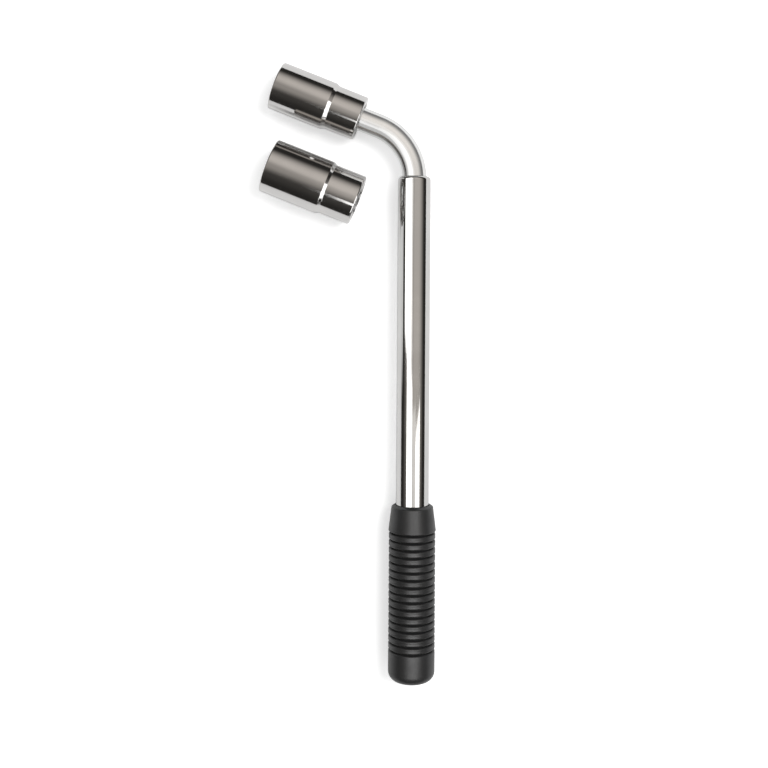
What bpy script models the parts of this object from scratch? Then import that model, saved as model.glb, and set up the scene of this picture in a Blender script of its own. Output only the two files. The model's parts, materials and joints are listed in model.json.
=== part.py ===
"""Telescopic lug wrench with two double-ended sockets, in metres, +Z up.

The wrench lies flat. Its tube runs along Y with the mouth towards +Y, and the bent bar
slides out of that mouth. The first socket sits on the bar's square drive and the second
lies beside it. The origin is under the middle of the whole set, on the surface below.
"""

from math import cos, pi, radians, sin, sqrt, tan

import bmesh
import bpy
from mathutils import Matrix, Vector

MM = 0.001
GAP = 0.3 * MM  # air between pieces that touch on the real wrench

# Place of the handle: the tube's axis, and the centre of its mouth
AXIS_X = 39.895 * MM
MOUTH_Y = 119.3915 * MM
AXIS_Z = 14.75 * MM

# Handle tube
TUBE_R = 10.0 * MM
BORE_R = 8.6 * MM
TUBE_LENGTH = 302.7 * MM
LIP_LENGTH = 3.0 * MM
MOUTH_ROUND = 2.2 * MM
LIP_CHAMFER = 0.4 * MM
CLICK_R = 9.25 * MM
CLICK_HALF_WIDTH = 2.6 * MM

# Bent bar
BAR_R = 7.4 * MM
BEND_R = 34.2 * MM
BEND_ANGLE = radians(68.6)
BEND_START = -1.3 * MM  # from the mouth, along the tube
BEND_STEPS = 14
BAR_SIDES = 32
SHANK_LENGTH = 200.7 * MM  # full-diameter bar inside the tube
SPIGOT_R = 5.5 * MM
SPIGOT_LENGTH = 36.6 * MM
SCREW_HOLE_R = 3.1 * MM
SCREW_HOLE_DEPTH = 16.0 * MM
JOIN_OVERLAP = 3.0 * MM  # how far the spigot starts inside the shank
TRAVEL = 172.0 * MM

# Square drive, half an inch across its flats
DRIVE_HALF = 6.35 * MM
DRIVE_CHAMFER = 1.1 * MM
DRIVE_ROOT = 2.0 * MM  # how far the square starts inside the round bar
DRIVE_TIP_GAP = 1.3 * MM  # from its tip to the hexagon beyond

# Spring balls
LOCK_BALL_R = 2.4 * MM
LOCK_BALL_BACK = 195.0 * MM  # from the mouth, with the bar pushed in
DRIVE_BALL_R = 2.0 * MM
BALL_HOLE_GAP = 0.2 * MM
BALL_HOLE_DEPTH = 8.9 * MM  # behind the ball's centre
DRIVE_BALL_SUNK = 0.05 * MM
SPRING_WIRE_R = 0.25 * MM
SPRING_CLEARANCE = 0.1 * MM
SPRING_TURNS = 4
SPRING_STEPS = 8  # straight pieces in each turn

# Nylon bushes, washer, screw and plug
MOUTH_BUSH_LENGTH = 12.0 * MM
GUIDE_BUSH_R = 8.3 * MM
GUIDE_BUSH_LENGTH = 36.0 * MM
WASHER_R = 7.6 * MM
WASHER_THICKNESS = 1.5 * MM
SCREW_R = 2.8 * MM
SCREW_LENGTH = 14.0 * MM
SCREW_HEAD_R = 5.0 * MM
SCREW_HEAD_HEIGHT = 3.6 * MM
SCREW_KEY_ACROSS = 4.0 * MM
SCREW_KEY_DEPTH = 2.2 * MM
SCREW_CHAMFER = 0.5 * MM
PLUG_SKIRT = 10.5 * MM
PLUG_FLANGE = 1.2 * MM
PLUG_WALL = 2.0 * MM
PLUG_CHAMFER = 1.0 * MM

# Rubber grip, measured back from the tube's mouth
GRIP_START = 199.5 * MM
COLLAR_END = 215.6 * MM
GRIP_END = 307.4 * MM
GRIP_R = 14.2 * MM
COLLAR_TOP_R = 12.7 * MM
COLLAR_R = 14.55 * MM
COLLAR_LIP = 1.2 * MM
COLLAR_EDGE = 0.4 * MM
FIRST_GROOVE = 216.4 * MM
LAST_GROOVE = 287.4 * MM
GROOVES = 17
GROOVE_WIDTH = 1.4 * MM
GROOVE_DEPTH = 1.3 * MM
GRIP_CORNER = 5.8 * MM
GRIP_DOME = 0.7 * MM

# Double-ended sockets: radii and lengths of their two steps, and their two hexagons
LARGE_EDGE_ROUND = 0.9 * MM
HEX_CLEARANCE = 0.2 * MM
HEX_LEAD_IN = 0.8 * MM
LEAD_IN_MARGIN = 0.25 * MM  # beyond the hexagon's corners
SQUARE_HOLE_HALF = 6.5 * MM
BALL_GROOVE_R = 7.5 * MM
BALL_GROOVE_WIDTH = 5.0 * MM
MOUNTED = {
    "small_r": 13.7 * MM,
    "small_round": 0.9 * MM,
    "small_step": 18.7 * MM,
    "large_r": 14.75 * MM,
    "taper": 2.3 * MM,
    "length": 55.3 * MM,
    "small_hex": 17.0 * MM,
    "small_depth": 18.2 * MM,
    "large_hex": 19.0 * MM,
    "large_depth": 20.5 * MM,
}
LOOSE = {
    "small_r": 15.55 * MM,
    "small_round": 1.5 * MM,
    "small_step": 19.5 * MM,
    "large_r": 16.7 * MM,
    "taper": 1.9 * MM,
    "length": 58.2 * MM,
    "small_hex": 21.0 * MM,
    "small_depth": 18.5 * MM,
    "large_hex": 23.0 * MM,
    "large_depth": 22.5 * MM,
}
SOCKET_FROM_BEND = 35.5 * MM  # from where the two axes meet to the mounted socket
LOOSE_SMALL_END_X = -34.335 * MM  # from the tube's mouth
LOOSE_SMALL_END_Y = -15.152 * MM

SIDES = 40
GRIP_SIDES = 32
HOLE_SIDES = 24
SCREW_SIDES = 24
ROUND_STEPS = 3
CUT_PAST = 2.0 * MM  # how far a cutter reaches beyond the surface that it cuts

AXES_MEET = Vector((0, BEND_START + BEND_R * tan(BEND_ANGLE / 2), 0))
ARM = Vector((-sin(BEND_ANGLE), cos(BEND_ANGLE), 0))
MOUTH = Vector((AXIS_X, MOUTH_Y, AXIS_Z))
BACK = Matrix.Rotation(pi / 2, 4, "X")  # turns local +Z to -Y, back along the tube


# Materials


def material(name, colour, metallic, roughness):
    made = bpy.data.materials.new(name)
    made.use_nodes = True
    shader = made.node_tree.nodes["Principled BSDF"]
    shader.inputs["Base Color"].default_value = (*colour, 1)
    shader.inputs["Metallic"].default_value = metallic
    shader.inputs["Roughness"].default_value = roughness
    return made


def chrome(name):
    return material(name, (0.78, 0.77, 0.76), 1.0, 0.08)


def steel(name):
    return material(name, (0.56, 0.57, 0.58), 1.0, 0.3)


def nylon(name):
    return material(name, (0.82, 0.81, 0.76), 0.0, 0.45)


# Mesh helpers


def link(name, mesh, look, place):
    """A new object from a bmesh, smooth except at sharp corners."""
    bmesh.ops.recalc_face_normals(mesh, faces=mesh.faces)
    data = bpy.data.meshes.new(name)
    mesh.to_mesh(data)
    mesh.free()
    data.shade_smooth()
    data.set_sharp_from_angle(angle=radians(32))
    data.materials.append(look)
    made = bpy.data.objects.new(name, data)
    bpy.context.collection.objects.link(made)
    made.matrix_world = place
    return made


def turned(name, outline, look, place, sides=SIDES):
    """Spins an outline of (radius, height) points, closed on itself, round local Z."""
    mesh = bmesh.new()
    points = [mesh.verts.new((radius, 0, height)) for radius, height in outline]
    pairs = zip(points, points[1:] + points[:1])
    edges = [mesh.edges.new((a, b)) for a, b in pairs if a.co.x + b.co.x > 0]
    bmesh.ops.spin(
        mesh,
        geom=points + edges,
        axis=(0, 0, 1),
        cent=(0, 0, 0),
        angle=2 * pi,
        steps=sides,
        use_merge=True,
    )
    bmesh.ops.remove_doubles(mesh, verts=mesh.verts, dist=1e-7)
    return link(name, mesh, look, place)


def arc(centre_r, centre_h, radius, start, end, steps=ROUND_STEPS):
    """Points of (radius, height) on an arc, its angles in degrees from outward."""
    angles = [radians(start + (end - start) * i / steps) for i in range(steps + 1)]
    return [(centre_r + radius * cos(a), centre_h + radius * sin(a)) for a in angles]


def prism(name, sides, across, low, high, look, place):
    """A prism with flats `across` apart, two of them facing local X."""
    mesh = bmesh.new()
    corner_r = across / 2 / cos(pi / sides)
    middle = Matrix.Translation((0, 0, (high + low) / 2))
    bmesh.ops.create_cone(
        mesh,
        cap_ends=True,
        segments=sides,
        radius1=corner_r,
        radius2=corner_r,
        depth=high - low,
        matrix=middle @ Matrix.Rotation(pi / sides, 4, "Z"),
    )
    return link(name, mesh, look, place)


def cone(name, low_r, high_r, low, high, look, place, sides=SIDES):
    outline = [(0, low), (low_r, low), (high_r, high), (0, high)]
    return turned(name, outline, look, place, sides)


def apply_tool(target, tool, operation):
    """A Boolean with a helper object, which stays in the file but out of the model."""
    tool.hide_render = True
    tool.display_type = "WIRE"
    modifier = target.modifiers.new(tool.name, "BOOLEAN")
    modifier.operation = operation
    modifier.object = tool
    modifier.solver = "EXACT"


def hold(name, place, *children):
    """An empty on a joint's axis that its moving pieces hang from."""
    empty = bpy.data.objects.new(name, None)
    empty.empty_display_size = 10 * MM
    bpy.context.collection.objects.link(empty)
    empty.matrix_world = place
    for child in children:
        child.parent = empty
        child.matrix_parent_inverse = place.inverted()
    return empty


def along_tube(back):
    """The place on the tube's axis this far behind the mouth, local +Z pointing back."""
    return Matrix.Translation(MOUTH + Vector((0, -back, 0))) @ BACK


def along_arm(distance):
    """The place on the arm this far from where the axes meet, local +Z outward, +Y up."""
    across = Vector((0, 0, 1)).cross(ARM)
    turn = Matrix((across, Vector((0, 0, 1)), ARM)).transposed()
    return Matrix.Translation(MOUTH + AXES_MEET + ARM * distance) @ turn.to_4x4()


# Handle


def outer_tube():
    """Chromed tube, its mouth rolled in round the bar, with two click grooves inside."""
    lip_r = BAR_R + GAP
    roll = arc(TUBE_R - MOUTH_ROUND, MOUTH_ROUND, MOUTH_ROUND, -90, 0)
    grooves = []
    for centre in (LOCK_BALL_BACK, LOCK_BALL_BACK - TRAVEL):
        depth = CLICK_R - BORE_R
        grooves += [
            (BORE_R, centre + CLICK_HALF_WIDTH),
            (CLICK_R, centre + CLICK_HALF_WIDTH - depth),
            (CLICK_R, centre - CLICK_HALF_WIDTH + depth),
            (BORE_R, centre - CLICK_HALF_WIDTH),
        ]
    outline = (
        roll
        + [(TUBE_R, TUBE_LENGTH), (BORE_R, TUBE_LENGTH)]
        + grooves
        + [(BORE_R, LIP_LENGTH), (lip_r, LIP_LENGTH)]
        + [(lip_r, LIP_CHAMFER), (lip_r + LIP_CHAMFER, 0)]
    )
    return turned("outer_tube", outline, chrome("tube_chrome"), along_tube(0))


def ring(name, inner_r, outer_r, start, length, look):
    outline = [(inner_r, 0), (outer_r, 0), (outer_r, length), (inner_r, length)]
    return turned(name, outline, look, along_tube(start))


def grip_outline():
    """The grip's outer side from its lip to the middle of its end."""
    pitch = (LAST_GROOVE - FIRST_GROOVE) / (GROOVES - 1)
    side = [(COLLAR_TOP_R - COLLAR_LIP, GRIP_START), (COLLAR_TOP_R, GRIP_START + COLLAR_LIP)]
    side += [(COLLAR_R, COLLAR_END - COLLAR_EDGE), (COLLAR_R - COLLAR_EDGE / 2, COLLAR_END)]
    for number in range(GROOVES):
        centre = FIRST_GROOVE + number * pitch
        side += [
            (GRIP_R, centre - GROOVE_WIDTH / 2),
            (GRIP_R - GROOVE_DEPTH, centre),
            (GRIP_R, centre + GROOVE_WIDTH / 2),
        ]
    corner_back = GRIP_END - GRIP_DOME - GRIP_CORNER
    side += arc(GRIP_R - GRIP_CORNER, corner_back, GRIP_CORNER, 0, 90, 5)
    return side + [(0, GRIP_END)]


def rubber_grip():
    """Ribbed rubber sleeve with a tapered collar, closed over the tube's end."""
    bore_r = TUBE_R + GAP
    bore_end = TUBE_LENGTH + 2 * GAP + PLUG_FLANGE
    outline = grip_outline() + [(0, bore_end), (bore_r, bore_end), (bore_r, GRIP_START)]
    rubber = material("grip_rubber", (0.045, 0.045, 0.047), 0.0, 0.55)
    return turned("rubber_grip", outline, rubber, along_tube(0), GRIP_SIDES)


def tube_end_plug():
    """Plug in the tube's lower end, its flange against the tube's rim."""
    skirt_r = BORE_R - GAP
    flange = TUBE_LENGTH + GAP
    outline = [
        (0, flange + PLUG_FLANGE),
        (0, flange - PLUG_WALL),
        (skirt_r - PLUG_WALL, flange - PLUG_WALL),
        (skirt_r - PLUG_WALL, flange - PLUG_SKIRT),
        (skirt_r - PLUG_CHAMFER / 2, flange - PLUG_SKIRT),
        (skirt_r, flange - PLUG_SKIRT + PLUG_CHAMFER),
        (skirt_r, flange),
        (TUBE_R - GAP, flange),
        (TUBE_R - GAP, flange + PLUG_FLANGE),
    ]
    plastic = material("plug_plastic", (0.1, 0.1, 0.1), 0.0, 0.5)
    return turned("tube_end_plug", outline, plastic, along_tube(0))


# Bent bar and what it carries


def sweep_bar():
    """The round bar: shank, one bend and arm, drawn from a circle in local space.

    Local space has its origin at the tube's mouth and Y along the tube.
    """
    mesh = bmesh.new()
    facing_back = Matrix.Translation((0, -SHANK_LENGTH, 0)) @ BACK
    bmesh.ops.create_circle(
        mesh, cap_ends=False, segments=BAR_SIDES, radius=BAR_R, matrix=facing_back
    )
    rim = mesh.edges[:]
    mesh.faces.new(mesh.verts[:])

    def draw_out(edges, step):
        made = bmesh.ops.extrude_edge_only(mesh, edges=edges)["geom"]
        verts = [v for v in made if isinstance(v, bmesh.types.BMVert)]
        bmesh.ops.translate(mesh, vec=step, verts=verts)
        return [e for e in made if isinstance(e, bmesh.types.BMEdge)]

    rim = draw_out(rim, Vector((0, SHANK_LENGTH + BEND_START, 0)))
    turn = bmesh.ops.spin(
        mesh,
        geom=rim,
        cent=(-BEND_R, BEND_START, 0),
        axis=(0, 0, 1),
        angle=BEND_ANGLE,
        steps=BEND_STEPS,
    )
    rim = [e for e in turn["geom_last"] if isinstance(e, bmesh.types.BMEdge)]
    bend_end = BEND_R * tan(BEND_ANGLE / 2)
    shoulder = SOCKET_FROM_BEND + MOUNTED["small_depth"] - GAP
    rim = draw_out(rim, ARM * (shoulder - bend_end))
    bmesh.ops.contextual_create(mesh, geom=rim)
    return mesh


def square_drive(look):
    """The square that turns the socket, with its long edges and tip bevelled."""
    shoulder = MOUNTED["small_depth"] - GAP
    web = MOUNTED["length"] - MOUNTED["small_depth"] - MOUNTED["large_depth"]
    low = -DRIVE_ROOT
    high = web - DRIVE_TIP_GAP
    middle = (low + high) / 2
    mesh = bmesh.new()
    size = Matrix.Diagonal((2 * DRIVE_HALF, 2 * DRIVE_HALF, high - low, 1))
    bmesh.ops.create_cube(mesh, size=1, matrix=Matrix.Translation((0, 0, middle)) @ size)
    kept = [e for e in mesh.edges if all(v.co.z < middle for v in e.verts)]
    bevelled = [e for e in mesh.edges if e not in kept]
    bmesh.ops.bevel(mesh, geom=bevelled, offset=DRIVE_CHAMFER, segments=1, affect="EDGES")
    return link("square_drive", mesh, look, along_arm(SOCKET_FROM_BEND + shoulder))


def bent_bar():
    """Chromed bar with its spigot, square drive, screw hole and two ball holes."""
    look = chrome("bar_chrome")
    bar = link("bent_bar", sweep_bar(), look, Matrix.Translation(MOUTH))
    bar_end = SHANK_LENGTH + SPIGOT_LENGTH
    spigot = cone(
        "spigot",
        SPIGOT_R,
        SPIGOT_R,
        SHANK_LENGTH - JOIN_OVERLAP,
        bar_end,
        look,
        along_tube(0),
        BAR_SIDES,
    )
    screw_hole = cone(
        "screw_hole",
        SCREW_HOLE_R,
        SCREW_HOLE_R,
        bar_end - SCREW_HOLE_DEPTH,
        bar_end + CUT_PAST,
        look,
        along_tube(0),
        HOLE_SIDES,
    )
    lock_hole = ball_hole("lock_ball_hole", LOCK_BALL_R, lock_ball_place(), look)
    drive_hole = ball_hole("drive_ball_hole", DRIVE_BALL_R, drive_ball_place(), look)
    apply_tool(bar, spigot, "UNION")
    apply_tool(bar, square_drive(look), "UNION")
    apply_tool(bar, screw_hole, "DIFFERENCE")
    apply_tool(bar, lock_hole, "DIFFERENCE")
    apply_tool(bar, drive_hole, "DIFFERENCE")
    return bar


def lock_ball_place():
    """The click ball's centre, pressed in level with the guide bush; +Z points down."""
    centre = MOUTH + Vector((0, -LOCK_BALL_BACK, -(GUIDE_BUSH_R - LOCK_BALL_R)))
    return Matrix.Translation(centre) @ Matrix.Rotation(pi, 4, "X")


def drive_ball_place():
    """The drive ball's centre, pressed in level with the square's top flat; +Z points up."""
    web = MOUNTED["length"] - MOUNTED["small_depth"] - MOUNTED["large_depth"]
    along = SOCKET_FROM_BEND + MOUNTED["small_depth"] + web / 2
    lift = Vector((0, 0, DRIVE_HALF - DRIVE_BALL_R - DRIVE_BALL_SUNK))
    return Matrix.Translation(MOUTH + AXES_MEET + ARM * along + lift)


def ball_hole(name, ball_r, place, look):
    radius = ball_r + BALL_HOLE_GAP
    high = ball_r + CUT_PAST
    return cone(name, radius, radius, -BALL_HOLE_DEPTH, high, look, place, HOLE_SIDES)


def ball(name, radius, place):
    mesh = bmesh.new()
    bmesh.ops.create_uvsphere(mesh, u_segments=16, v_segments=10, radius=radius)
    return link(name, mesh, steel(name + "_steel"), place)


def coil_spring(name, ball_r, place):
    """Compression spring between a ball and the bottom of its hole."""
    coil_r = ball_r - SPRING_WIRE_R - 2 * SPRING_CLEARANCE
    low = -BALL_HOLE_DEPTH + SPRING_WIRE_R + SPRING_CLEARANCE
    high = -ball_r - SPRING_WIRE_R - SPRING_CLEARANCE
    curve = bpy.data.curves.new(name, "CURVE")
    curve.dimensions = "3D"
    curve.bevel_depth = SPRING_WIRE_R
    curve.bevel_resolution = 1
    curve.use_fill_caps = True
    spline = curve.splines.new("POLY")
    steps = SPRING_TURNS * SPRING_STEPS
    spline.points.add(steps)
    for number, point in enumerate(spline.points):
        share = number / steps
        angle = 2 * pi * SPRING_TURNS * share
        point.co = (coil_r * cos(angle), coil_r * sin(angle), low + (high - low) * share, 1)
    curve.materials.append(steel(name + "_steel"))
    made = bpy.data.objects.new(name, curve)
    bpy.context.collection.objects.link(made)
    made.matrix_world = place
    return made


def end_screw():
    """Cap screw that holds the washer and the guide bush on the bar."""
    under_head = SHANK_LENGTH + SPIGOT_LENGTH + WASHER_THICKNESS + 2 * GAP
    outline = [
        (0, -SCREW_LENGTH),
        (SCREW_R - SCREW_CHAMFER, -SCREW_LENGTH),
        (SCREW_R, -SCREW_LENGTH + SCREW_CHAMFER),
        (SCREW_R, 0),
        (SCREW_HEAD_R, 0),
        (SCREW_HEAD_R, SCREW_HEAD_HEIGHT - SCREW_CHAMFER),
        (SCREW_HEAD_R - SCREW_CHAMFER, SCREW_HEAD_HEIGHT),
        (0, SCREW_HEAD_HEIGHT),
    ]
    look = steel("screw_steel")
    place = along_tube(under_head)
    screw = turned("end_screw", outline, look, place, SCREW_SIDES)
    key_low = SCREW_HEAD_HEIGHT - SCREW_KEY_DEPTH
    key_high = SCREW_HEAD_HEIGHT + CUT_PAST
    key = prism("screw_key", 6, SCREW_KEY_ACROSS, key_low, key_high, look, place)
    apply_tool(screw, key, "DIFFERENCE")
    return screw


# Sockets


def socket(name, size, place):
    """Stepped socket: a hexagon in each end and a square hole through the web between."""
    look = chrome(name + "_chrome")
    length = size["length"]
    small_r = size["small_r"]
    large_r = size["large_r"]
    step = size["small_step"]
    web_low = size["small_depth"]
    web_high = length - size["large_depth"]
    small_round = size["small_round"]
    edge = LARGE_EDGE_ROUND
    outline = arc(small_r - small_round, small_round, small_round, -90, 0)
    outline += [(small_r, step), (large_r, step + size["taper"])]
    outline += arc(large_r - edge, length - edge, edge, 0, 90)
    outline += [(0, length), (0, 0)]
    made = turned(name, outline, look, place)
    past = CUT_PAST
    small_across = size["small_hex"] + HEX_CLEARANCE
    large_across = size["large_hex"] + HEX_CLEARANCE
    square = 2 * SQUARE_HOLE_HALF
    tools = [
        prism(name + "_small_hex", 6, small_across, -past, web_low, look, place),
        prism(name + "_large_hex", 6, large_across, web_high, length + past, look, place),
        prism(name + "_square", 4, square, web_low - past, web_high + past, look, place),
    ]
    middle = (web_low + web_high) / 2
    half_groove = BALL_GROOVE_WIDTH / 2
    tools.append(
        cone(
            name + "_ball_groove",
            BALL_GROOVE_R,
            BALL_GROOVE_R,
            middle - half_groove,
            middle + half_groove,
            look,
            place,
            HOLE_SIDES,
        )
    )
    for end, outward, across in ((0, -1, small_across), (length, 1, large_across)):
        corner_r = across / sqrt(3) + LEAD_IN_MARGIN
        low = end - outward * HEX_LEAD_IN
        high = end + outward * past
        radii = (corner_r - HEX_LEAD_IN, corner_r + past)
        heights = (low, high)
        if outward < 0:
            radii = radii[::-1]
            heights = heights[::-1]
        tools.append(cone(f"{name}_lead_in_{outward + 1}", *radii, *heights, look, place))
    for tool in tools:
        apply_tool(made, tool, "DIFFERENCE")
    return made


# The whole set


def build():
    for old in list(bpy.data.objects):
        bpy.data.objects.remove(old)

    outer_tube()
    bush_look = nylon("bush_nylon")
    bush_start = LIP_LENGTH + GAP
    ring("mouth_bush", BAR_R + GAP, BORE_R - GAP, bush_start, MOUTH_BUSH_LENGTH, bush_look)
    rubber_grip()
    tube_end_plug()

    guide_look = nylon("guide_nylon")
    guide_start = SHANK_LENGTH + GAP
    guide_bore = SPIGOT_R + GAP
    guide = ring(
        "guide_bush", guide_bore, GUIDE_BUSH_R, guide_start, GUIDE_BUSH_LENGTH, guide_look
    )
    washer_look = steel("washer_steel")
    washer_start = SHANK_LENGTH + SPIGOT_LENGTH + GAP
    washer = ring(
        "end_washer", SCREW_R + GAP, WASHER_R, washer_start, WASHER_THICKNESS, washer_look
    )
    screw = end_screw()
    bar = bent_bar()
    lock_spring = coil_spring("lock_spring", LOCK_BALL_R, lock_ball_place())
    drive_spring = coil_spring("drive_spring", DRIVE_BALL_R, drive_ball_place())
    lock_ball = ball("lock_ball", LOCK_BALL_R, lock_ball_place())
    drive_ball = ball("drive_ball", DRIVE_BALL_R, drive_ball_place())
    mounted = socket("socket_17_19", MOUNTED, along_arm(SOCKET_FROM_BEND))

    small_end = MOUTH + Vector((LOOSE_SMALL_END_X, LOOSE_SMALL_END_Y, LOOSE["large_r"] - AXIS_Z))
    loose_place = along_arm(0)
    loose_place.translation = small_end
    loose = socket("socket_21_23", LOOSE, loose_place)

    bpy.context.view_layer.update()
    swivel = hold(
        "swivel_axis",
        Matrix.Translation(MOUTH),
        bar,
        washer,
        screw,
        lock_spring,
        drive_spring,
        lock_ball,
        drive_ball,
        mounted,
    )
    hold("telescope_axis", Matrix.Translation(MOUTH), guide, swivel)
    hold("loose_socket_lift", Matrix.Translation(small_end), loose)


build()
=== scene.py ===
"""Telescopic lug wrench and its two double-ended sockets, lying on a white studio table.

Metres, +Z up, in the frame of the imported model. Turned pieces are drawn along their own
local Z and then placed, so a material's object coordinates follow the piece's axis.
"""

import json
from math import cos, pi, radians, sin, sqrt, tan

import bmesh
import bpy
from mathutils import Matrix, Vector


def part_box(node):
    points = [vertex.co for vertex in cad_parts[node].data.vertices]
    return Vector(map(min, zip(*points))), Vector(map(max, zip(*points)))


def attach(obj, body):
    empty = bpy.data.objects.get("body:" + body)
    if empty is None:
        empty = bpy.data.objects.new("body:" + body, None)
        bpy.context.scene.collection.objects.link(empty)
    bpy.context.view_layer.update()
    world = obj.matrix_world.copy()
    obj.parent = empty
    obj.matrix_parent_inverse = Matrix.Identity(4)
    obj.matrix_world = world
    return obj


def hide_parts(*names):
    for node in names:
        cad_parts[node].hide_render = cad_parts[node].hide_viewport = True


MM = 0.001

# Camera, straight above the wrench
CAMERA_FROM_MOUTH = Vector((-18.155 * MM, -63.332 * MM, 640.25 * MM))
CAMERA_ROLL = radians(0.38)
CAMERA_LENS = 49.2
CAMERA_SHIFT_Y = -0.135

# Studio
FLOOR_HALF = 4.0
WARM = (1.0, 0.935, 0.87)
KEY_PLACE = Vector((0.62, 0.35, 1.2))
KEY_SIZE = 0.75
KEY_POWER = 11.0
AMBIENT = 0.62
TABLE_GLOW = 0.4  # the overexposed table, as the camera meets it
BOX_HEIGHT = 3.0

# Tube: mouth rolled in round the bar
BORE_R = 8.6 * MM
LIP_LENGTH = 3.0 * MM
LIP_ROUND = 0.5 * MM
TUBE_END_ROUND = 0.3 * MM
MOUTH_ROUND = 2.2 * MM
BAR_GAP = 0.3 * MM
CLICK_DEPTH = 0.65 * MM
CLICK_HALF_WIDTH = 2.6 * MM
LOCK_BALL_BACK = 195.0 * MM  # from the mouth, with the bar pushed in
TUBE_SIDES = 160

# Bent bar
BAR_R = 7.4 * MM
BEND_R = 34.2 * MM
BEND_START = -1.3 * MM
BEND_STEPS = 56
BAR_SIDES = 112
HOLE_SIDES = 48
SPIGOT_SIDES = 64
SHANK_LENGTH = 200.7 * MM
SHANK_CHAMFER = 0.5 * MM
SHOULDER_CHAMFER = 0.6 * MM
SPIGOT_R = 5.5 * MM
SPIGOT_LENGTH = 36.6 * MM
SPIGOT_ROUND = 0.5 * MM
SPIGOT_ROOT = 3.0 * MM  # how far it starts inside the shank
SCREW_HOLE_R = 3.1 * MM
SCREW_HOLE_DEPTH = 16.0 * MM
DRIVE_HALF = 6.35 * MM
DRIVE_EDGE = 1.1 * MM
DRIVE_ROOT = 2.0 * MM
DRIVE_TIP_GAP = 1.3 * MM
BALL_HOLE_DEPTH = 8.9 * MM
LOCK_BALL_R = 2.4 * MM
DRIVE_BALL_R = 2.0 * MM
BALL_HOLE_GAP = 0.2 * MM
BALL_HOLE_PAST = 4.0 * MM  # beyond each ball's centre

# Rubber grip, measured back from the tube's mouth
GRIP_BORE_R = 10.3 * MM
GRIP_BORE_END = 304.5 * MM
LIP_RISE = 1.5 * MM
GRIP_LIP_ROUND = 0.25 * MM
COLLAR_TOP_ROUND = 0.9 * MM
COLLAR_EDGE_ROUND = 0.5 * MM
COLLAR_EDGE_FALL = 0.3 * MM
COLLAR_TOP_R = 12.7 * MM
COLLAR_R = 14.5 * MM
COLLAR_END = 215.6 * MM
GRIP_R = 14.2 * MM
FIRST_GROOVE = 216.4 * MM
LAST_GROOVE = 287.4 * MM
GROOVES = 17
GROOVE_WIDTH = 1.15 * MM
GROOVE_DEPTH = 1.3 * MM
RIB_VALLEY = 0.1 * MM
RIB_EDGE = 0.42 * MM
GROOVE_FILLET = 0.12 * MM
GRIP_CORNER = 5.8 * MM
GRIP_DOME = 0.7 * MM
GRIP_SIDES = 144
# Painted shade in the grip's grooves: its dark colour, the width of its soft edge and how deep
# below the ribs' top it starts.
GROOVE_SHADE_COLOUR = (0.01, 0.01, 0.01, 1.0)
GROOVE_SHADE_FADE = 0.45 * MM
GROOVE_SHADE_DEPTH = 0.8 * MM

# Sockets: two steps of round body, a hexagon in each end, a square hole between
LARGE_EDGE_ROUND = 0.9 * MM
STEP_ROUND = 0.7 * MM
HEX_CLEARANCE = 0.2 * MM
HEX_LEAD_IN = 0.8 * MM
SQUARE_HALF = 6.5 * MM
BALL_GROOVE_R = 7.5 * MM
BALL_GROOVE_WIDTH = 5.0 * MM
BALL_GROOVE_SIDES = 96
SOCKET_SIDES = 160
LEAD_IN_MARGIN = 0.25 * MM  # beyond the hexagon's corners
CUT_PAST = 2 * MM  # how far a cutter reaches beyond the surface that it cuts
SOCKET_FROM_BEND = 35.5 * MM
MOUNTED = {
    "small_r": 13.7 * MM,
    "small_round": 0.9 * MM,
    "small_step": 18.7 * MM,
    "large_r": 14.75 * MM,
    "taper": 2.3 * MM,
    "length": 55.3 * MM,
    "small_hex": 17.0 * MM,
    "small_depth": 18.2 * MM,
    "large_hex": 19.0 * MM,
    "large_depth": 20.5 * MM,
}
LOOSE = {
    "small_r": 15.55 * MM,
    "small_round": 1.5 * MM,
    "small_step": 19.5 * MM,
    "large_r": 16.7 * MM,
    "taper": 1.9 * MM,
    "length": 58.2 * MM,
    "small_hex": 21.0 * MM,
    "small_depth": 18.5 * MM,
    "large_hex": 23.0 * MM,
    "large_depth": 22.5 * MM,
}
LOOSE_END = Vector((-34.335 * MM, -15.152 * MM, 1.95 * MM))  # small end, from the tube's mouth

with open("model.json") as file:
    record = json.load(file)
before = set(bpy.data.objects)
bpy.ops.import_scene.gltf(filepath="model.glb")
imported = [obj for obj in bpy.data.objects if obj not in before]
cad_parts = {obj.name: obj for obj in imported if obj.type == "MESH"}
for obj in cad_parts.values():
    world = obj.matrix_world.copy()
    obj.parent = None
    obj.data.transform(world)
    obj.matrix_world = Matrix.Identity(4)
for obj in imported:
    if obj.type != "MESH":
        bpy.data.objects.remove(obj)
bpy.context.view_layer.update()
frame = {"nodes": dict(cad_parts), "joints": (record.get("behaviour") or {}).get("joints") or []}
joints = {joint["name"]: joint for joint in frame["joints"]}
MOUTH = Vector(joints["swivel"]["pos_m"])
ARM = Vector(joints["socket_pull"]["axis"])
TRAVEL = joints["telescope"]["range_m"][1]
TUBE_LOW, TUBE_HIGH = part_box("outer_tube")
TUBE_R = (TUBE_HIGH.x - TUBE_LOW.x) / 2
TUBE_LENGTH = TUBE_HIGH.y - TUBE_LOW.y
GRIP_LOW, GRIP_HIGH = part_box("rubber_grip")
GRIP_START = MOUTH.y - GRIP_HIGH.y
GRIP_END = MOUTH.y - GRIP_LOW.y
BEND_ANGLE = Vector((0, 1, 0)).angle(ARM)
BEND_TANGENT = BEND_R * tan(BEND_ANGLE / 2)
AXES_MEET = Vector((0, BEND_START + BEND_TANGENT, 0))
BACK = Matrix.Rotation(pi / 2, 4, "X")

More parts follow.
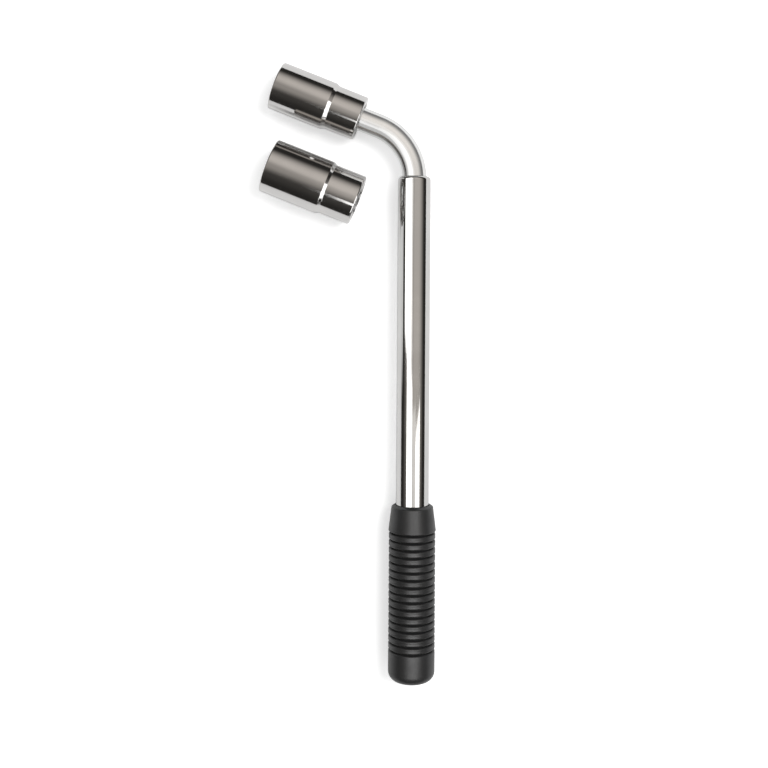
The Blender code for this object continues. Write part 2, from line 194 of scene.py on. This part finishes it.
# Softboxes: name, two corners as slopes from straight up, radiance, the pieces that mirror it
# and a turn about Z. A turned one has its second slope along the arm.
SOFTBOXES = (
    ("left_box", (-2.1, -0.1), (-0.3, 0.9), 2.2, ("tube",), 0.0),
    ("left_edge", (-0.3, -0.1), (-0.13, 0.9), 0.75, ("tube",), 0.0),
    ("lower_left_box", (-1.0, -0.75), (-0.1, -0.1), 2.2, ("tube",), 0.0),
    ("lower_middle", (-0.1, -0.45), (0.33, -0.13), 0.5, ("tube",), 0.0),
    ("lower_right_box", (0.33, -0.45), (1.1, -0.17), 2.2, ("tube",), 0.0),
    ("bar_left_box", (-1.7, -0.75), (-0.2, 0.9), 1.1, ("bar",), 0.0),
    ("bar_right_fill", (0.0, -6.0), (9.0, 9.0), 0.22, ("bar",), 0.0),
    ("bar_left_fill", (-9.0, -6.0), (0.0, 9.0), 0.6, ("bar",), 0.0),
    ("grip_top", (-0.34, -0.6), (0.66, 0.0), 4.6, ("grip",), 0.0),
    ("mounted_strip", (-0.62, -0.6), (-0.43, 0.108), 2.2, ("mounted",), BEND_ANGLE),
    ("loose_strip", (-0.65, -0.6), (-0.41, 0.085), 2.2, ("loose",), BEND_ANGLE),
    ("step_box", (-3.2, -3.2), (0.4, -0.7), 2.2, ("mounted", "loose"), BEND_ANGLE),
)


# Shader nodes


class Shader:
    """Adds nodes to one node tree, linking an input that is given as a socket."""

    def __init__(self, tree):
        self.tree = tree

    def add(self, kind, settings=None, inputs=None, out=0):
        made = self.tree.nodes.new("ShaderNode" + kind)
        for name, value in (settings or {}).items():
            setattr(made, name, value)
        for name, value in (inputs or {}).items():
            self.set(made.inputs[name], value)
        return made.outputs[out]

    def set(self, socket, value):
        if isinstance(value, bpy.types.NodeSocket):
            self.tree.links.new(value, socket)
        else:
            socket.default_value = value

    def maths(self, operation, first, second=0.0):
        return self.add("Math", {"operation": operation}, {0: first, 1: second})

    def smooth(self, value, low, high, to_low=0.0, to_high=1.0):
        """A soft step from to_low, where value is low, to to_high."""
        return self.add(
            "MapRange",
            {"interpolation_type": "SMOOTHSTEP"},
            {
                "Value": value,
                "From Min": low,
                "From Max": high,
                "To Min": to_low,
                "To Max": to_high,
            },
        )

    def blend(self, share, first, second):
        """A colour between first and second."""
        return self.add(
            "Mix",
            {"data_type": "RGBA"},
            {"Factor": share, 6: first, 7: second},
            out=2,
        )

    def noise(self, where, scale, detail=4.0, roughness=0.55):
        return self.add(
            "TexNoise",
            None,
            {"Vector": where, "Scale": scale, "Detail": detail, "Roughness": roughness},
        )

    def stretched(self, where, scale):
        return self.add("Mapping", None, {"Vector": where, "Scale": scale})


def new_material(name):
    made = bpy.data.materials.new(name)
    made.use_nodes = True
    principled = made.node_tree.nodes["Principled BSDF"]
    shader = Shader(made.node_tree)
    where = shader.add("TexCoord", out="Object")
    return made, shader, principled, where


def chrome(name, tint, gloss, along=(1.0, 1.0, 0.04)):
    """Polished chrome plate: faint cloudiness, polishing lines along the piece and hairlines.

    `along` squeezes the object's coordinates along the piece's own axis.
    """
    made, shader, principled, where = new_material(name)
    broad = shader.noise(where, 38.0, 3.0)
    lines = shader.noise(shader.stretched(where, along), 1500.0, 3.0)
    fine = shader.noise(where, 5200.0, 2.0)
    hairs = shader.noise(shader.stretched(where, (3.0, 3.0, 0.12)), 900.0, 2.0)
    hairs = shader.smooth(hairs, 0.66, 0.72)
    darker = (*(value * 0.93 for value in tint), 1.0)
    cloudy = shader.smooth(broad, 0.35, 0.68)
    colour = shader.blend(cloudy, darker, (*tint, 1.0))
    shader.set(principled.inputs["Base Color"], colour)
    principled.inputs["Metallic"].default_value = 1.0
    dull = shader.smooth(broad, 0.3, 0.75, gloss, gloss + 0.05)
    dull = shader.maths("ADD", dull, shader.maths("MULTIPLY", lines, 0.035))
    dull = shader.maths("ADD", dull, shader.maths("MULTIPLY", hairs, 0.09))
    shader.set(principled.inputs["Roughness"], dull)
    height = shader.maths("ADD", lines, shader.maths("MULTIPLY", fine, 0.5))
    height = shader.maths("SUBTRACT", height, shader.maths("MULTIPLY", hairs, 0.8))
    bump = shader.add("Bump", None, {"Height": height, "Strength": 0.05, "Distance": 0.00002})
    shader.set(principled.inputs["Normal"], bump)
    return made


def steel(name, tint, roughness):
    """Plain ground steel with circular-looking grinding marks and faint stains."""
    made, shader, principled, where = new_material(name)
    stains = shader.smooth(shader.noise(where, 260.0, 4.0), 0.35, 0.7)
    marks = shader.noise(shader.stretched(where, (1.0, 1.0, 6.0)), 1800.0, 3.0)
    stained = (*(value * 0.8 for value in tint), 1.0)
    shader.set(principled.inputs["Base Color"], shader.blend(stains, stained, (*tint, 1.0)))
    principled.inputs["Metallic"].default_value = 1.0
    rough = shader.smooth(marks, 0.3, 0.7, roughness, roughness + 0.15)
    shader.set(principled.inputs["Roughness"], rough)
    bump = shader.add("Bump", None, {"Height": marks, "Strength": 0.15, "Distance": 0.00003})
    shader.set(principled.inputs["Normal"], bump)
    return made


def moulded(name, tint, roughness, speckle, depth, groove_shade=None):
    """A moulded plastic or rubber: fine speckled skin and cloudy colour, and if asked, painted
    shade in its grooves.

    The optional last argument is a radius and the two ends of a ribbed length on the piece's own
    axis;
    whatever lies deeper than that radius gets painted shade, a darker colour, and is also
    rougher and dimmer.
    """
    made, shader, principled, where = new_material(name)
    clouds = shader.noise(where, 90.0, 4.0)
    grain = shader.noise(where, speckle, 3.0, 0.6)
    pits = shader.add(
        "TexVoronoi",
        {"feature": "SMOOTH_F1"},
        {"Vector": where, "Scale": speckle * 0.7, "Smoothness": 0.6},
    )
    dark = (*(value * 0.78 for value in tint), 1.0)
    light = (*(min(value * 1.22, 1.0) for value in tint), 1.0)
    mottled = shader.maths("MULTIPLY", shader.maths("ADD", clouds, grain), 0.5)
    colour = shader.blend(shader.smooth(mottled, 0.38, 0.62), dark, light)
    rough = shader.smooth(mottled, 0.35, 0.65, roughness + 0.06, roughness - 0.06)
    # Painted shade: below the given radius, between the two ends, the colour turns dark in place
    # of the shade in the grooves; roughness rises and specular falls on the same mask.
    if groove_shade:
        painted_shade_r, start, end = groove_shade
        split = shader.tree.nodes.new("ShaderNodeSeparateXYZ")
        shader.set(split.inputs[0], where)
        flat = shader.add("VectorMath", {"operation": "MULTIPLY"}, {0: where, 1: (1, 1, 0)})
        radius = shader.add("VectorMath", {"operation": "LENGTH"}, {0: flat}, out="Value")
        unshaded = shader.smooth(radius, painted_shade_r - GROOVE_SHADE_FADE, painted_shade_r)
        before = shader.smooth(split.outputs[2], start - GROOVE_SHADE_FADE, start, 1.0, 0.0)
        after = shader.smooth(split.outputs[2], end, end + GROOVE_SHADE_FADE)
        unshaded = shader.maths("MAXIMUM", unshaded, shader.maths("ADD", before, after))
        colour = shader.blend(unshaded, GROOVE_SHADE_COLOUR, colour)
        rough = shader.maths("ADD", rough, shader.smooth(unshaded, 0.0, 1.0, 0.4, 0.0))
        shine = shader.smooth(unshaded, 0.0, 1.0, 0.15, 0.5)
        shader.set(principled.inputs["Specular IOR Level"], shine)
    shader.set(principled.inputs["Base Color"], colour)
    shader.set(principled.inputs["Roughness"], rough)
    height = shader.maths("ADD", grain, shader.maths("MULTIPLY", pits, 0.7))
    bump = shader.add("Bump", None, {"Height": height, "Strength": 0.5, "Distance": depth})
    shader.set(principled.inputs["Normal"], bump)
    return made


# Meshes


def link(name, mesh, look, place, sharp=radians(30)):
    bmesh.ops.recalc_face_normals(mesh, faces=mesh.faces)
    data = bpy.data.meshes.new(name)
    mesh.to_mesh(data)
    mesh.free()
    made = bpy.data.objects.new(name, data)
    bpy.context.scene.collection.objects.link(made)
    made.matrix_world = place
    data.materials.append(look)
    data.shade_smooth()
    data.set_sharp_from_angle(angle=sharp)
    return made


def rounded(corners, steps=5):
    """An outline of (radius, height) points, each (radius, height, rounding) corner an arc."""
    points = []
    for index, (radius, height, rounding) in enumerate(corners):
        here = Vector((radius, height))
        if not rounding:
            points.append(here)
            continue
        before = (Vector(corners[index - 1][:2]) - here).normalized()
        after = (Vector(corners[(index + 1) % len(corners)][:2]) - here).normalized()
        half = before.angle(after) / 2
        centre = here + (before + after).normalized() * (rounding / sin(half))
        reach = rounding / tan(half)
        first = here + before * reach - centre
        last = here + after * reach - centre
        sweep = first.angle(last)
        for step in range(steps + 1):
            share = step / steps
            mixed = first * sin((1 - share) * sweep) + last * sin(share * sweep)
            points.append(centre + mixed / sin(sweep))
    return points


def turned(name, outline, look, place, sides):
    """Spins an outline of (radius, height) points, closed on itself, round local Z."""
    mesh = bmesh.new()
    points = [mesh.verts.new((radius, 0, height)) for radius, height in outline]
    pairs = zip(points, points[1:] + points[:1])
    edges = [mesh.edges.new(pair) for pair in pairs if pair[0].co.x + pair[1].co.x > 0]
    bmesh.ops.spin(
        mesh,
        geom=points + edges,
        axis=(0, 0, 1),
        cent=(0, 0, 0),
        angle=2 * pi,
        steps=sides,
        use_merge=True,
    )
    bmesh.ops.remove_doubles(mesh, verts=mesh.verts, dist=1e-7)
    return link(name, mesh, look, place)


def prism(name, sides, across, low, high, look, place):
    mesh = bmesh.new()
    radius = across / 2 / cos(pi / sides)
    middle = Matrix.Translation((0, 0, (high + low) / 2))
    bmesh.ops.create_cone(
        mesh,
        cap_ends=True,
        segments=sides,
        radius1=radius,
        radius2=radius,
        depth=high - low,
        matrix=middle @ Matrix.Rotation(pi / sides, 4, "Z"),
    )
    return link(name, mesh, look, place)


def cone(name, low_r, high_r, low, high, look, place, sides):
    return turned(name, [(0, low), (low_r, low), (high_r, high), (0, high)], look, place, sides)


def carve(target, tools, operation="DIFFERENCE"):
    """Cuts the tools from the target, or joins them to it, and removes them."""
    for tool in tools:
        modifier = target.modifiers.new(tool.name, "BOOLEAN")
        modifier.operation = operation
        modifier.object = tool
        modifier.solver = "EXACT"
    bpy.context.view_layer.update()
    graph = bpy.context.evaluated_depsgraph_get()
    result = bpy.data.meshes.new_from_object(target.evaluated_get(graph))
    target.modifiers.clear()
    target.data = result
    for tool in tools:
        bpy.data.objects.remove(tool)


def finish_shading(piece, sharp=radians(30)):
    """Smooth shading that keeps flat faces flat beside their rounded edges."""
    piece.data.shade_smooth()
    piece.data.set_sharp_from_angle(angle=sharp)
    modifier = piece.modifiers.new("weighted_normals", "WEIGHTED_NORMAL")
    modifier.keep_sharp = True
    modifier.weight = 90


def along_tube(back):
    """The place on the tube's axis this far behind the mouth, local +Z pointing back."""
    return Matrix.Translation(MOUTH + Vector((0, -back, 0))) @ BACK


def along_arm(distance):
    """The place on the arm this far from where the axes meet, local +Z outward, +Y up."""
    up = Vector((0, 0, 1))
    turn = Matrix((up.cross(ARM), up, ARM)).transposed()
    return Matrix.Translation(MOUTH + AXES_MEET + ARM * distance) @ turn.to_4x4()


def show_as(piece, body, node):
    """The piece rides on the body and stands for the CAD node."""
    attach(piece, body)
    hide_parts(node)


# Handle


def tube():
    look = chrome("tube_plate", (0.62, 0.615, 0.605), 0.035)
    lip_r = BAR_R + BAR_GAP
    outline = rounded(
        [
            (lip_r, 0, LIP_ROUND),
            (TUBE_R, 0, MOUTH_ROUND),
            (TUBE_R, TUBE_LENGTH, TUBE_END_ROUND),
            (BORE_R, TUBE_LENGTH, TUBE_END_ROUND),
        ],
        8,
    )
    for centre in (LOCK_BALL_BACK, LOCK_BALL_BACK - TRAVEL):
        groove_r = BORE_R + CLICK_DEPTH
        outline += [
            (BORE_R, centre + CLICK_HALF_WIDTH),
            (groove_r, centre + CLICK_HALF_WIDTH - CLICK_DEPTH),
            (groove_r, centre - CLICK_HALF_WIDTH + CLICK_DEPTH),
            (BORE_R, centre - CLICK_HALF_WIDTH),
        ]
    outline += [(BORE_R, LIP_LENGTH), (lip_r, LIP_LENGTH)]
    piece = turned("tube_shell", outline, look, along_tube(0), TUBE_SIDES)
    finish_shading(piece)
    show_as(piece, "handle", "outer_tube")
    return piece


def rib(start, end):
    """Outline across one rib: two low crowns with a shallow valley between them."""
    width = end - start
    shape = (
        (0.0, RIB_EDGE / MM),
        (0.05, 0.2),
        (0.13, 0.05),
        (0.25, 0.0),
        (0.36, 0.04),
        (0.44, 0.8 * RIB_VALLEY / MM),
        (0.5, RIB_VALLEY / MM),
        (0.56, 0.8 * RIB_VALLEY / MM),
        (0.64, 0.04),
        (0.75, 0.0),
        (0.87, 0.05),
        (0.95, 0.2),
        (1.0, RIB_EDGE / MM),
    )
    return [(GRIP_R - low * MM, start + width * share) for share, low in shape]


def grip():
    tint = (0.017, 0.017, 0.0173)
    # Painted shade in the grooves, from this radius inward, along the ribbed length.
    groove_shade = (GRIP_R - GROOVE_SHADE_DEPTH, COLLAR_END, LAST_GROOVE + GROOVE_WIDTH)
    look = moulded("grip_rubber_skin", tint, 0.4, 2600.0, 0.000012, groove_shade)
    pitch = (LAST_GROOVE - FIRST_GROOVE) / (GROOVES - 1)
    half = GROOVE_WIDTH / 2
    outline = rounded(
        [
            (GRIP_BORE_R, GRIP_START, GRIP_LIP_ROUND),
            (COLLAR_TOP_R, GRIP_START + LIP_RISE, COLLAR_TOP_ROUND),
            (COLLAR_R, COLLAR_END, COLLAR_EDGE_ROUND),
            (GRIP_R - GROOVE_DEPTH, COLLAR_END + COLLAR_EDGE_FALL, 0),
        ]
    )[:-1]
    for number in range(GROOVES):
        centre = FIRST_GROOVE + number * pitch
        floor_r = GRIP_R - GROOVE_DEPTH
        if number:
            outline += rib(centre - pitch + half, centre - half)
        outline += [
            (floor_r + GROOVE_FILLET, centre - half * 0.7),
            (floor_r, centre - half * 0.3),
            (floor_r, centre + half * 0.3),
            (floor_r + GROOVE_FILLET, centre + half * 0.7),
        ]
    outline += [
        (GRIP_R - RIB_EDGE, LAST_GROOVE + half),
        (GRIP_R - 0.15 * MM, LAST_GROOVE + half + 0.25 * MM),
        (GRIP_R, LAST_GROOVE + half + 0.8 * MM),
    ]
    corner = GRIP_END - GRIP_DOME - GRIP_CORNER
    for step in range(13):
        angle = pi / 2 * step / 12
        round_r = GRIP_R - GRIP_CORNER + GRIP_CORNER * cos(angle)
        outline.append((round_r, corner + GRIP_CORNER * sin(angle)))
    for step in range(1, 7):
        share = step / 6
        dome = GRIP_DOME * (1 - (1 - share) ** 2)
        outline.append(((GRIP_R - GRIP_CORNER) * (1 - share), GRIP_END - GRIP_DOME + dome))
    outline += [(0, GRIP_BORE_END), (GRIP_BORE_R, GRIP_BORE_END)]
    piece = turned("ribbed_grip", outline, look, along_tube(0), GRIP_SIDES)
    finish_shading(piece, radians(60))
    show_as(piece, "handle", "rubber_grip")
    return piece


# Bar


def swept_bar(look):
    """The round bar: shank, one bend and arm, its far rim left at the square's shoulder."""
    mesh = bmesh.new()
    turn = Matrix.Translation((0, -SHANK_LENGTH, 0)) @ BACK
    inner = BAR_R - SHANK_CHAMFER
    bmesh.ops.create_circle(mesh, cap_ends=False, segments=BAR_SIDES, radius=inner, matrix=turn)
    rim = mesh.edges[:]
    mesh.faces.new(mesh.verts[:])
    centre = Vector((0, -SHANK_LENGTH, 0))

    def draw_out(edges, step, grow=1.0, middle=None):
        made = bmesh.ops.extrude_edge_only(mesh, edges=edges)["geom"]
        verts = [v for v in made if isinstance(v, bmesh.types.BMVert)]
        if middle is not None:
            for vert in verts:
                vert.co = middle + (vert.co - middle) * grow
        bmesh.ops.translate(mesh, vec=step, verts=verts)
        return [e for e in made if isinstance(e, bmesh.types.BMEdge)]

    rim = draw_out(rim, Vector((0, SHANK_CHAMFER, 0)), BAR_R / inner, centre)
    rim = draw_out(rim, Vector((0, SHANK_LENGTH - SHANK_CHAMFER + BEND_START, 0)))
    bent = bmesh.ops.spin(
        mesh,
        geom=rim,
        cent=(-BEND_R, BEND_START, 0),
        axis=(0, 0, 1),
        angle=BEND_ANGLE,
        steps=BEND_STEPS,
    )
    rim = [e for e in bent["geom_last"] if isinstance(e, bmesh.types.BMEdge)]
    shoulder = SOCKET_FROM_BEND + MOUNTED["small_depth"] - BAR_GAP
    straight = shoulder - BEND_TANGENT - SHOULDER_CHAMFER
    rim = draw_out(rim, ARM * straight)
    middle = AXES_MEET + ARM * (shoulder - SHOULDER_CHAMFER)
    rim = draw_out(rim, ARM * SHOULDER_CHAMFER, (BAR_R - SHOULDER_CHAMFER) / BAR_R, middle)
    bmesh.ops.contextual_create(mesh, geom=rim)
    return link("polished_bar", mesh, look, Matrix.Translation(MOUTH))


def square_drive(look):
    """The square that turns the socket, with rounded long edges and a bevelled tip."""
    web = MOUNTED["length"] - MOUNTED["small_depth"] - MOUNTED["large_depth"]
    low = -DRIVE_ROOT
    high = web - DRIVE_TIP_GAP
    mesh = bmesh.new()
    size = Matrix.Diagonal((2 * DRIVE_HALF, 2 * DRIVE_HALF, high - low, 1))
    place = Matrix.Translation((0, 0, (low + high) / 2)) @ size
    bmesh.ops.create_cube(mesh, size=1, matrix=place)
    middle = (low + high) / 2
    edges = [e for e in mesh.edges if any(v.co.z > middle for v in e.verts)]
    bmesh.ops.bevel(mesh, geom=edges, offset=DRIVE_EDGE, segments=3, affect="EDGES")
    shoulder = MOUNTED["small_depth"] - BAR_GAP
    return link("square_drive", mesh, look, along_arm(SOCKET_FROM_BEND + shoulder))


def ball_hole(name, centre, turn, ball_r, look):
    radius = ball_r + BALL_HOLE_GAP
    place = Matrix.Translation(centre) @ turn
    return cone(name, radius, radius, -BALL_HOLE_DEPTH, BALL_HOLE_PAST, look, place, HOLE_SIDES)


def bar():
    look = chrome("bar_plate", (0.78, 0.78, 0.775), 0.12, (1.0, 1.0, 1.0))
    piece = swept_bar(look)
    bar_end = SHANK_LENGTH + SPIGOT_LENGTH
    spigot_outline = rounded(
        [
            (0, SHANK_LENGTH - SPIGOT_ROOT, 0),
            (SPIGOT_R, SHANK_LENGTH - SPIGOT_ROOT, 0),
            (SPIGOT_R, bar_end, SPIGOT_ROUND),
            (0, bar_end, 0),
        ]
    )
    spigot = turned("spigot", spigot_outline, look, along_tube(0), SPIGOT_SIDES)
    screw_low = bar_end - SCREW_HOLE_DEPTH
    hole = cone(
        "screw_hole",
        SCREW_HOLE_R,
        SCREW_HOLE_R,
        screw_low,
        bar_end + MM,
        look,
        along_tube(0),
        HOLE_SIDES,
    )
    lock_low, lock_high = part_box("lock_ball")
    drive_low, drive_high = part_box("drive_ball")
    down = Matrix.Rotation(pi, 4, "X")
    up = Matrix.Identity(4)
    holes = [
        ball_hole("lock_hole", (lock_low + lock_high) / 2, down, LOCK_BALL_R, look),
        ball_hole("drive_hole", (drive_low + drive_high) / 2, up, DRIVE_BALL_R, look),
    ]
    carve(piece, [spigot, square_drive(look)], "UNION")
    carve(piece, [hole, *holes])
    finish_shading(piece)
    show_as(piece, "bar", "bent_bar")
    return piece


# Sockets


def socket(name, size, place, look):
    """Stepped round body with a hexagon in each end and a square hole between them."""
    length = size["length"]
    step = size["small_step"]
    web_low = size["small_depth"]
    web_high = length - size["large_depth"]
    outline = rounded(
        [
            (0, 0, 0),
            (size["small_r"], 0, size["small_round"]),
            (size["small_r"], step, STEP_ROUND),
            (size["large_r"], step + size["taper"], STEP_ROUND),
            (size["large_r"], length, LARGE_EDGE_ROUND),
            (0, length, 0),
        ],
        7,
    )
    piece = turned(name, outline, look, place, SOCKET_SIDES)
    past = CUT_PAST
    small = size["small_hex"] + HEX_CLEARANCE
    large = size["large_hex"] + HEX_CLEARANCE
    middle = (web_low + web_high) / 2
    tools = [
        prism("small_hex", 6, small, -past, web_low, look, place),
        prism("large_hex", 6, large, web_high, length + past, look, place),
        prism("square", 4, 2 * SQUARE_HALF, web_low - past, web_high + past, look, place),
        cone(
            "ball_groove",
            BALL_GROOVE_R,
            BALL_GROOVE_R,
            middle - BALL_GROOVE_WIDTH / 2,
            middle + BALL_GROOVE_WIDTH / 2,
            look,
            place,
            BALL_GROOVE_SIDES,
        ),
    ]
    small_corner = small / sqrt(3) + LEAD_IN_MARGIN
    large_corner = large / sqrt(3) + LEAD_IN_MARGIN
    tools.append(
        cone(
            "small_lead",
            small_corner + past,
            small_corner - HEX_LEAD_IN,
            -past,
            HEX_LEAD_IN,
            look,
            place,
            SOCKET_SIDES,
        )
    )
    tools.append(
        cone(
            "large_lead",
            large_corner - HEX_LEAD_IN,
            large_corner + past,
            length - HEX_LEAD_IN,
            length + past,
            look,
            place,
            SOCKET_SIDES,
        )
    )
    carve(piece, tools)
    finish_shading(piece)
    return piece


def sockets():
    tint = (0.62, 0.61, 0.6)
    mounted_look = chrome("mounted_socket_plate", tint, 0.05)
    mounted = socket("mounted_socket_body", MOUNTED, along_arm(SOCKET_FROM_BEND), mounted_look)
    show_as(mounted, "mounted_socket", "socket_17_19")
    place = along_arm(0)
    place.translation = MOUTH + LOOSE_END
    loose_look = chrome("loose_socket_plate", tint, 0.05)
    loose = socket("loose_socket_body", LOOSE, place, loose_look)
    show_as(loose, "loose_socket", "socket_21_23")
    return mounted, loose


# Small pieces that keep their CAD shape


def dress(node, look):
    data = frame["nodes"][node].data
    data.materials.clear()
    data.materials.append(look)
    data.shade_smooth()
    data.set_sharp_from_angle(angle=radians(38))


def small_pieces():
    nylon = moulded("bush_nylon", (0.78, 0.76, 0.7), 0.42, 1500.0, 0.00003)
    plug = moulded("plug_skin", (0.03, 0.03, 0.03), 0.5, 1200.0, 0.00004)
    plain = steel("plain_steel_look", (0.55, 0.56, 0.57), 0.28)
    bright = steel("ball_steel_look", (0.62, 0.63, 0.64), 0.12)
    for node in ("mouth_bush", "guide_bush"):
        dress(node, nylon)
    dress("tube_end_plug", plug)
    for node in ("end_washer", "end_screw", "lock_spring", "drive_spring"):
        dress(node, plain)
    for node in ("lock_ball", "drive_ball"):
        dress(node, bright)


# Studio


def floor():
    mesh = bmesh.new()
    bmesh.ops.create_grid(mesh, x_segments=8, y_segments=8, size=FLOOR_HALF)
    look, shader, principled, where = new_material("white_table")
    cloud = shader.smooth(shader.noise(where, 3.0), 0.3, 0.7)
    colour = shader.blend(cloud, (0.93, 0.93, 0.93, 1), (0.95, 0.95, 0.95, 1))
    shader.set(principled.inputs["Base Color"], colour)
    principled.inputs["Roughness"].default_value = 0.9
    principled.inputs["Specular IOR Level"].default_value = 0.1
    principled.inputs["Emission Color"].default_value = (1, 1, 1, 1)
    rays = shader.tree.nodes.new("ShaderNodeLightPath")
    glow = shader.maths("MULTIPLY", rays.outputs["Is Camera Ray"], TABLE_GLOW)
    shader.set(principled.inputs["Emission Strength"], glow)
    table = link("table", mesh, look, Matrix.Identity(4))


def key_light():
    lamp = bpy.data.lights.new("key", "AREA")
    lamp.shape = "DISK"
    lamp.size = KEY_SIZE
    lamp.energy = KEY_POWER
    made = bpy.data.objects.new("key", lamp)
    bpy.context.scene.collection.objects.link(made)
    aim = -KEY_PLACE
    made.location = KEY_PLACE
    made.rotation_euler = aim.to_track_quat("-Z", "Y").to_euler()
    made.visible_glossy = False


def surroundings():
    """What the polished steel mirrors besides the softboxes: a warm ceiling, a dark room with
    one white strip low on a wall, and white below the horizon.
    """
    world = bpy.data.worlds.new("studio")
    bpy.context.scene.world = world
    world.use_nodes = True
    shader = Shader(world.node_tree)
    direction = shader.add("TexCoord", out="Generated")
    split = shader.tree.nodes.new("ShaderNodeSeparateXYZ")
    shader.set(split.inputs[0], direction)
    x, y, z = split.outputs

    # The warm ceiling fades towards the horizon, behind the handle and over the left side
    from_back = shader.smooth(y, -0.5, 0.0, 0.06, 0.62)
    ahead = shader.smooth(y, 0.1, 0.35, 0.0, 0.12)
    ceiling = shader.maths("ADD", from_back, ahead)
    ceiling = shader.maths("MULTIPLY", ceiling, shader.smooth(x, -0.15, 0.05, 0.62, 1.0))
    ceiling = shader.maths("MULTIPLY", ceiling, shader.smooth(z, 0.28, 0.9))
    ceiling = shader.maths("ADD", ceiling, 0.03)
    room = shader.add("VectorMath", {"operation": "SCALE"}, {0: WARM, "Scale": ceiling})
    wall = shader.smooth(z, 0.1, 0.2, 1.0, 0.0)
    wall = shader.maths("MULTIPLY", wall, shader.smooth(x, -0.86, -0.93))
    wall = shader.maths("MULTIPLY", wall, shader.smooth(y, -0.12, -0.05))
    below = shader.smooth(z, -0.02, 0.0, 1.0, 0.0)
    white = shader.maths("MAXIMUM", wall, below)
    mirrored = shader.blend(white, room, (0.98, 0.98, 0.98, 1))

    rays = shader.tree.nodes.new("ShaderNodeLightPath")
    even = (AMBIENT, AMBIENT, AMBIENT, 1)
    seen = shader.blend(rays.outputs["Is Camera Ray"], even, (1.0, 1.0, 1.0, 1))
    colour = shader.blend(rays.outputs["Is Glossy Ray"], seen, mirrored)
    shader.set(shader.tree.nodes["Background"].inputs["Color"], colour)


def softbox(name, low, high, radiance, receivers, turn):
    """A lit rectangle overhead that only polished pieces mirror.

    `low` and `high` are its corners as slopes from straight up, before a turn about Z, and
    `receivers` are the pieces that mirror it.
    """
    lamp = bpy.data.lights.new(name, "AREA")
    lamp.shape = "RECTANGLE"
    lamp.size = (high[0] - low[0]) * BOX_HEIGHT
    lamp.size_y = (high[1] - low[1]) * BOX_HEIGHT
    lamp.energy = radiance * pi * lamp.size * lamp.size_y
    made = bpy.data.objects.new(name, lamp)
    bpy.context.scene.collection.objects.link(made)
    middle = Vector((low[0] + high[0], low[1] + high[1], 2)) * (BOX_HEIGHT / 2)
    around = Matrix.Rotation(turn, 4, "Z")
    made.matrix_world = around @ Matrix.Translation(middle)
    made.visible_camera = False
    made.visible_diffuse = False
    lit = bpy.data.collections.new(name + "_receivers")
    for piece in receivers:
        lit.objects.link(piece)
    made.light_linking.receiver_collection = lit


def softboxes(pieces):
    """Every box of the table above, each over the pieces that it names."""
    for name, low, high, radiance, over, turn in SOFTBOXES:
        softbox(name, low, high, radiance, [pieces[key] for key in over], turn)


def camera():
    lens = bpy.data.cameras.new("overhead")
    lens.lens = CAMERA_LENS
    lens.sensor_width = 36.0
    lens.shift_y = CAMERA_SHIFT_Y
    lens.clip_start = 0.01
    made = bpy.data.objects.new("overhead", lens)
    bpy.context.scene.collection.objects.link(made)
    made.location = MOUTH + CAMERA_FROM_MOUTH
    made.rotation_euler = (0, 0, CAMERA_ROLL)
    bpy.context.scene.camera = made
    bpy.context.scene.view_settings.view_transform = "Standard"


wrench = {"tube": tube(), "grip": grip(), "bar": bar()}
wrench["mounted"], wrench["loose"] = sockets()
small_pieces()
floor()
key_light()
surroundings()
softboxes(wrench)
camera()
